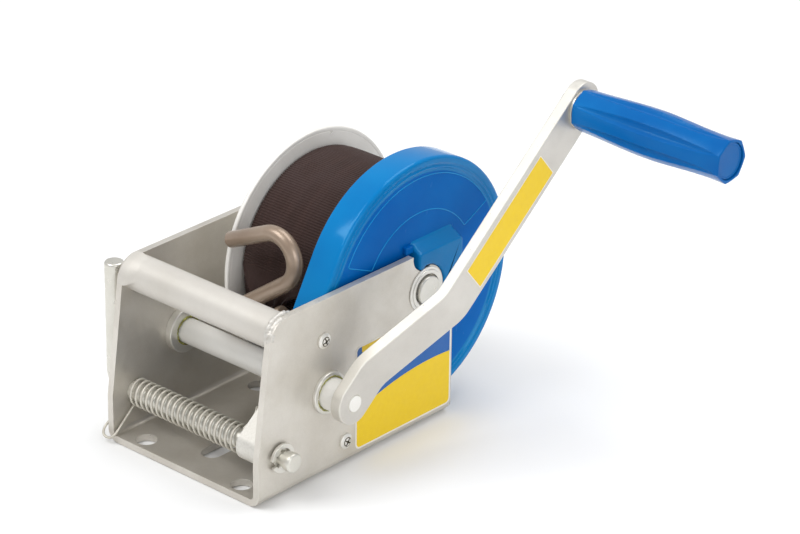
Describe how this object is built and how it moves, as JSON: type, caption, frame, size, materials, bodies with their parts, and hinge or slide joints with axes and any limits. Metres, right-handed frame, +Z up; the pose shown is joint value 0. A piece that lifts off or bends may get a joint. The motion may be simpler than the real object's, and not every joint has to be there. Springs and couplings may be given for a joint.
{
  "type": "boat trailer winch",
  "caption": "Hand winch for a boat trailer: folded steel frame, covered gear drive, webbing drum with S hook, cranked handle and sprung pawl with a release lever.",
  "frame": {"origin": "centre of the rectangle of four base bolt holes, on the underside of the base", "axes": "+X along the shafts towards the crank side, +Y towards the drum end, +Z up"},
  "size_m": [0.2375, 0.1986, 0.1683],
  "materials": {
    "zinc_sheet": "matte zinc plate",
    "crank_zinc": "matte zinc plate",
    "bright_zinc": "satin zinc plate",
    "spring_wire": "bright zinc plate",
    "gear_steel": "greased steel",
    "cover_plastic": "glossy",
    "grip_plastic": "satin",
    "webbing": "woven",
    "hook_steel": "dull plated, glossy",
    "frame_film": "printed film",
    "crank_film": "printed film"
  },
  "bodies": {
    "frame": {"frame_channel": "zinc_sheet", "cross_tube": "zinc_sheet", "weld_beads": "zinc_sheet", "axle_bush_left": "bright_zinc", "axle_bush_right": "bright_zinc", "input_bush_left": "bright_zinc", "input_bush_right": "bright_zinc", "gear_cover": "cover_plastic", "cover_screws": "bright_zinc", "frame_decal": "frame_film", "strap_end": "webbing"},
    "drum": {"drum_axle": "bright_zinc", "drum_tube": "zinc_sheet", "strap_pin": "bright_zinc", "drum_spacer": "zinc_sheet", "left_flange": "zinc_sheet", "right_flange": "zinc_sheet", "drum_gear": "gear_steel", "gear_rivets": "bright_zinc", "webbing_roll": "webbing"},
    "crank": {"input_shaft": "bright_zinc", "drive_pinion": "gear_steel", "pinion_pin": "bright_zinc", "crank_arm": "crank_zinc", "crank_decal": "crank_film", "grip_spindle": "bright_zinc", "grip_washer": "crank_zinc", "spindle_nut": "bright_zinc"},
    "grip": {"grip_sleeve": "grip_plastic", "grip_cap": "grip_plastic"},
    "pawl": {"pawl_rod": "bright_zinc", "pawl": "gear_steel", "pawl_pin": "bright_zinc", "e_clip": "bright_zinc", "pawl_spring": "spring_wire"},
    "hook": {"s_hook": "hook_steel"}
  },
  "joints": [
    {"name": "drum_spin", "type": "hinge", "parent": "frame", "child": "drum", "pos_m": [0, 0.0687, 0.0732], "axis": [1, 0, 0], "continuous": true},
    {"name": "crank_spin", "type": "hinge", "parent": "frame", "child": "crank", "pos_m": [0, 0.0012, 0.0438], "axis": [1, 0, 0], "continuous": true},
    {"name": "grip_spin", "type": "hinge", "parent": "crank", "child": "grip", "pos_m": [0.13, 0.137, 0.15575], "axis": [1, 0, 0], "continuous": true},
    {"name": "pawl_pivot", "type": "hinge", "parent": "frame", "child": "pawl", "pos_m": [0, -0.0314, 0.0225], "axis": [1, 0, 0], "range_deg": [0, 35], "stiffness_Nm_per_rad": 0.3, "springref_deg": -28.65, "deforming": ["pawl_spring"]},
    {"name": "hook_swing", "type": "hinge", "parent": "frame", "child": "hook", "pos_m": [0.00537, 0.00806, 0.06348], "axis": [0.809, 0.0205, 0.5874], "range_deg": [0, 30]}
  ],
  "couplings": [
    {"joint": "crank_spin", "follows": "drum_spin", "ratio": -3}
  ]
}
